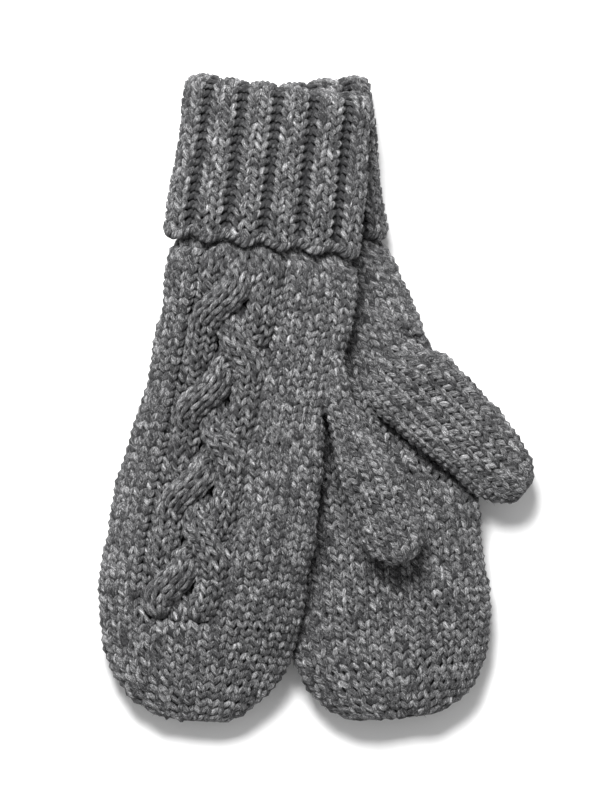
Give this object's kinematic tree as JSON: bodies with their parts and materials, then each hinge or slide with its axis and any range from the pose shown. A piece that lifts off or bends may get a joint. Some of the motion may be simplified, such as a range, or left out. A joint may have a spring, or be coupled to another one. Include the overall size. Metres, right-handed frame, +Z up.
{
  "type": "pair of knitted mittens",
  "caption": "Pair of chunky knitted mittens lying flat and overlapping: ribbed turn-back cuffs, plain-knit hands, plaited cables down the backs, and set-on thumbs",
  "frame": {"origin": "on the surface the pair lies on, under the middle of the pair's bounding box", "axes": "+Z up from the surface, +Y from the fingertips toward the cuffs, +X across the pair toward the side the thumbs point to"},
  "size_m": [0.1978, 0.2906, 0.0558],
  "materials": {
    "stockinette_wool": "heathered dark grey wool, plain knit",
    "cable_wool": "heathered dark grey wool, cabled stitches",
    "ribbed_wool": "heathered dark grey wool, two by two rib",
    "edge_wool": "heathered dark grey wool, cast-on edge"
  },
  "bodies": {
    "left_mitten": {"left_hand_upper": "stockinette_wool", "left_hand_lower": "stockinette_wool", "left_tip_gather": "stockinette_wool", "left_cable_strand_a": "cable_wool", "left_cable_strand_b": "cable_wool", "left_cable_strand_c": "cable_wool", "left_thumb_gusset": "stockinette_wool", "left_wrist_rib": "ribbed_wool"},
    "left_cuff": {"left_turned_cuff": "ribbed_wool", "left_cast_on_edge": "edge_wool"},
    "left_thumb": {"left_thumb": "stockinette_wool", "left_thumb_tip": "stockinette_wool"},
    "right_mitten": {"right_hand_upper": "stockinette_wool", "right_hand_lower": "stockinette_wool", "right_tip_gather": "stockinette_wool", "right_cable_strand_a": "cable_wool", "right_cable_strand_b": "cable_wool", "right_cable_strand_c": "cable_wool", "right_thumb_gusset": "stockinette_wool", "right_wrist_rib": "ribbed_wool"},
    "right_cuff": {"right_turned_cuff": "ribbed_wool", "right_cast_on_edge": "edge_wool"},
    "right_thumb": {"right_thumb": "stockinette_wool", "right_thumb_tip": "stockinette_wool"}
  },
  "joints": [
    {"name": "left_cuff_unfold", "type": "slide", "parent": "left_mitten", "child": "left_cuff", "axis": [-0.0802, 0.9968, 0], "range_m": [0, 0.06]},
    {"name": "left_thumb_bend", "type": "hinge", "parent": "left_mitten", "child": "left_thumb", "pos_m": [0.0349, 0.01071, 0.022], "axis": [0, 0, 1], "range_deg": [0, 30]},
    {"name": "right_mitten_lift", "type": "slide", "parent": "left_mitten", "child": "right_mitten", "axis": [0, 0, 1], "range_m": [0, 0.12]},
    {"name": "right_cuff_unfold", "type": "slide", "parent": "right_mitten", "child": "right_cuff", "axis": [0.1167, 0.9932, 0], "range_m": [0, 0.06]},
    {"name": "right_thumb_bend", "type": "hinge", "parent": "right_mitten", "child": "right_thumb", "pos_m": [0.0081, -0.00079, 0.042], "axis": [0, 0, 1], "range_deg": [0, 30]}
  ]
}
